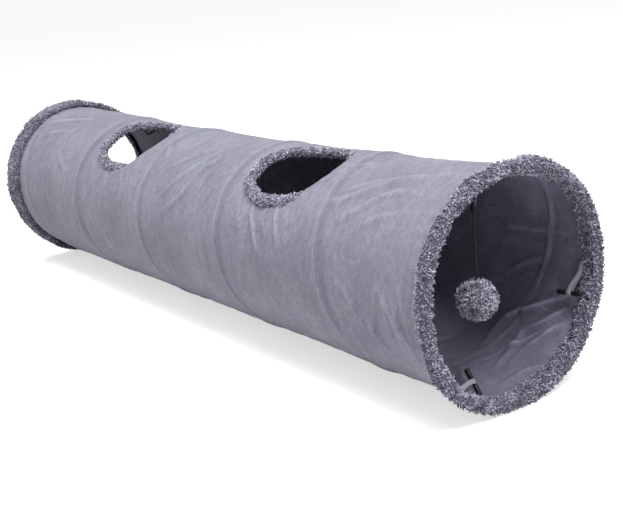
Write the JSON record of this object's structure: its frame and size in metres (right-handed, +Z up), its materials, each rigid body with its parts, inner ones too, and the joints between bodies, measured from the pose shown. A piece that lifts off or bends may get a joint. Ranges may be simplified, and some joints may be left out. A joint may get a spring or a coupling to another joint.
{
  "type": "cat tunnel",
  "caption": "Collapsible cat tunnel: suede sleeve on a spring-wire helix, plush cuffs and peep windows, tie toggles and elastic loops, and a ball hanging in the front mouth",
  "frame": {"origin": "middle of the footprint, on the floor under the tunnel's two cuffs", "axes": "+X along the tunnel towards its front opening, the one with the ball; +Y to the side away from the windows; +Z up"},
  "size_m": [1.2, 0.3092, 0.3063],
  "materials": {
    "suede": "matt brushed suede cloth",
    "lining": "smooth woven lining",
    "plush": "short curly plush",
    "ball_plush": "short plush",
    "casing": "woven tape",
    "spring_steel": "drawn spring steel wire",
    "crimp_metal": "pressed aluminium",
    "ribbon": "narrow woven ribbon",
    "black_plastic": "moulded plastic",
    "black_elastic": "flat braided elastic",
    "black_string": "braided cord"
  },
  "bodies": {
    "front_end": {"front_cuff": "plush", "spring_wire": "spring_steel", "wire_casing": "casing", "front_ferrule": "crimp_metal", "string_tab": "ribbon"},
    "rear_end": {"rear_cuff": "plush", "rear_ferrule": "crimp_metal"},
    "bay_1": {"sleeve_bay_1": "suede", "lining_bay_1": "lining"},
    "bay_2": {"sleeve_bay_2": "suede", "lining_bay_2": "lining", "near_window_trim": "plush"},
    "bay_3": {"sleeve_bay_3": "suede", "lining_bay_3": "lining"},
    "bay_4": {"sleeve_bay_4": "suede", "lining_bay_4": "lining", "far_window_trim": "plush"},
    "bay_5": {"sleeve_bay_5": "suede", "lining_bay_5": "lining", "elastic_loop_1": "black_elastic", "loop_tab_1": "ribbon", "elastic_loop_2": "black_elastic", "loop_tab_2": "ribbon", "elastic_loop_3": "black_elastic", "loop_tab_3": "ribbon"},
    "toggle_1": {"toggle_ribbon_1": "ribbon", "toggle_bar_1": "black_plastic"},
    "toggle_2": {"toggle_ribbon_2": "ribbon", "toggle_bar_2": "black_plastic"},
    "toggle_3": {"toggle_ribbon_3": "ribbon", "toggle_bar_3": "black_plastic"},
    "ball_hanger": {"string_knot": "black_string"},
    "hanging_ball": {"ball_string": "black_string", "ball": "ball_plush"}
  },
  "joints": [
    {"name": "collapse", "type": "slide", "parent": "front_end", "child": "rear_end", "axis": [1, 0, 0], "range_m": [0, 1.108], "stiffness_N_per_m": 15, "springref_m": -0.2, "deforming": ["spring_wire", "wire_casing", "sleeve_bay_1", "lining_bay_1", "sleeve_bay_2", "lining_bay_2", "near_window_trim", "sleeve_bay_3", "lining_bay_3", "sleeve_bay_4", "lining_bay_4", "far_window_trim", "sleeve_bay_5", "lining_bay_5", "elastic_loop_1", "loop_tab_1", "elastic_loop_2", "loop_tab_2", "elastic_loop_3", "loop_tab_3"]},
    {"name": "bay_1_slide", "type": "slide", "parent": "front_end", "child": "bay_1", "axis": [1, 0, 0], "range_m": [0, 0.0996]},
    {"name": "bay_2_slide", "type": "slide", "parent": "front_end", "child": "bay_2", "axis": [1, 0, 0], "range_m": [0, 0.3096]},
    {"name": "bay_3_slide", "type": "slide", "parent": "front_end", "child": "bay_3", "axis": [1, 0, 0], "range_m": [0, 0.5254]},
    {"name": "bay_4_slide", "type": "slide", "parent": "front_end", "child": "bay_4", "axis": [1, 0, 0], "range_m": [0, 0.7411]},
    {"name": "bay_5_slide", "type": "slide", "parent": "front_end", "child": "bay_5", "axis": [1, 0, 0], "range_m": [0, 0.9813]},
    {"name": "toggle_1_swing", "type": "hinge", "parent": "front_end", "child": "toggle_1", "pos_m": [0.5565, -0.019, 0.2901], "axis": [1, 0, 0], "range_deg": [-60, 60]},
    {"name": "toggle_2_swing", "type": "hinge", "parent": "front_end", "child": "toggle_2", "pos_m": [0.57, 0.1395, 0.1468], "axis": [1, 0, 0], "range_deg": [-110, 0]},
    {"name": "toggle_3_swing", "type": "hinge", "parent": "front_end", "child": "toggle_3", "pos_m": [0.564, -0.0835, 0.0409], "axis": [1, 0, 0], "range_deg": [0, 120]},
    {"name": "ball_sway", "type": "hinge", "parent": "front_end", "child": "ball_hanger", "pos_m": [0.5742, -0.039, 0.2789], "axis": [1, 0, 0], "range_deg": [-28, 62]},
    {"name": "ball_swing", "type": "hinge", "parent": "ball_hanger", "child": "hanging_ball", "pos_m": [0.5742, -0.039, 0.2789], "axis": [0, 1, 0], "range_deg": [-70, 70]}
  ],
  "couplings": [
    {"joint": "bay_1_slide", "follows": "collapse", "ratio": 0.0885},
    {"joint": "bay_2_slide", "follows": "collapse", "ratio": 0.2781},
    {"joint": "bay_3_slide", "follows": "collapse", "ratio": 0.4728},
    {"joint": "bay_4_slide", "follows": "collapse", "ratio": 0.6675},
    {"joint": "bay_5_slide", "follows": "collapse", "ratio": 0.8843}
  ]
}
